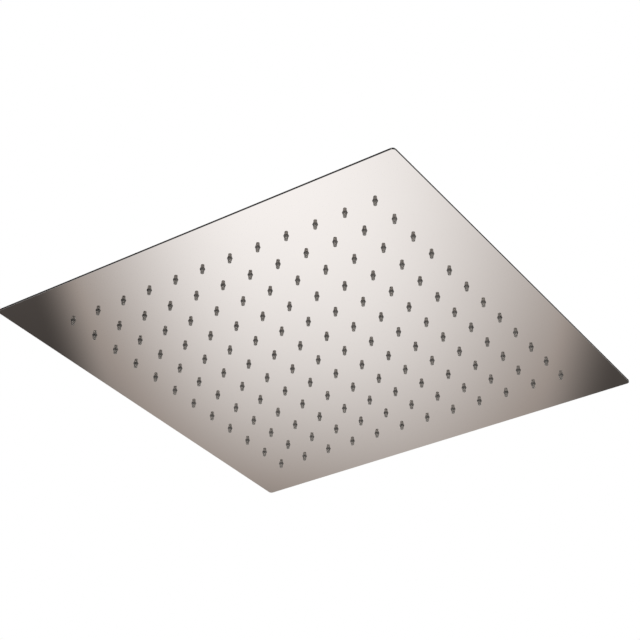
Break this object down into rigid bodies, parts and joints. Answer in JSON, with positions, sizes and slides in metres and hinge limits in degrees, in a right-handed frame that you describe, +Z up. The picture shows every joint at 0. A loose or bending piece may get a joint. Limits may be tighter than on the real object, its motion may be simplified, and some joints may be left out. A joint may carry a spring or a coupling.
{
  "type": "rain shower head",
  "caption": "Thin square mirror-polished steel rain shower head with a grid of silicone nozzles, hung from a threaded inlet by a ball joint that tilts and turns.",
  "frame": {"origin": "centre of the inlet mouth, where the supply pipe screws in", "axes": "+Z up into the supply pipe, X and Y along the sides of the square, spray face looking down"},
  "size_m": [0.4, 0.4, 0.0608],
  "materials": {
    "mirror_steel": "mirror-polished stainless sheet",
    "turned_steel": "finely turned stainless steel",
    "silicone": "matt moulded silicone",
    "black_rubber": "matt moulded rubber",
    "white_plastic": "smooth acetal",
    "green_plastic": "moulded plastic",
    "chromed_brass": "bright chrome on brass",
    "woven_steel": "woven stainless wire"
  },
  "bodies": {
    "connector": {"ball_connector": "chromed_brass", "flow_restrictor": "green_plastic", "restrictor_ring": "black_rubber", "filter_screen": "woven_steel", "inlet_washer": "black_rubber"},
    "liner": {"ball_liner": "white_plastic"},
    "seal": {"seat_seal": "black_rubber"},
    "head": {"face_plate": "mirror_steel", "nozzle_mat": "silicone", "back_pan": "mirror_steel", "ball_seat": "turned_steel", "collar_nut": "chromed_brass"}
  },
  "joints": [
    {"name": "tilt_x", "type": "hinge", "parent": "connector", "child": "liner", "pos_m": [0, 0, -0.0371], "axis": [1, 0, 0], "range_deg": [-12, 12]},
    {"name": "tilt_y", "type": "hinge", "parent": "liner", "child": "seal", "pos_m": [0, 0, -0.0371], "axis": [0, 1, 0], "range_deg": [-12, 12]},
    {"name": "turn", "type": "hinge", "parent": "seal", "child": "head", "pos_m": [0, 0, -0.0371], "axis": [0, 0, 1], "continuous": true}
  ]
}
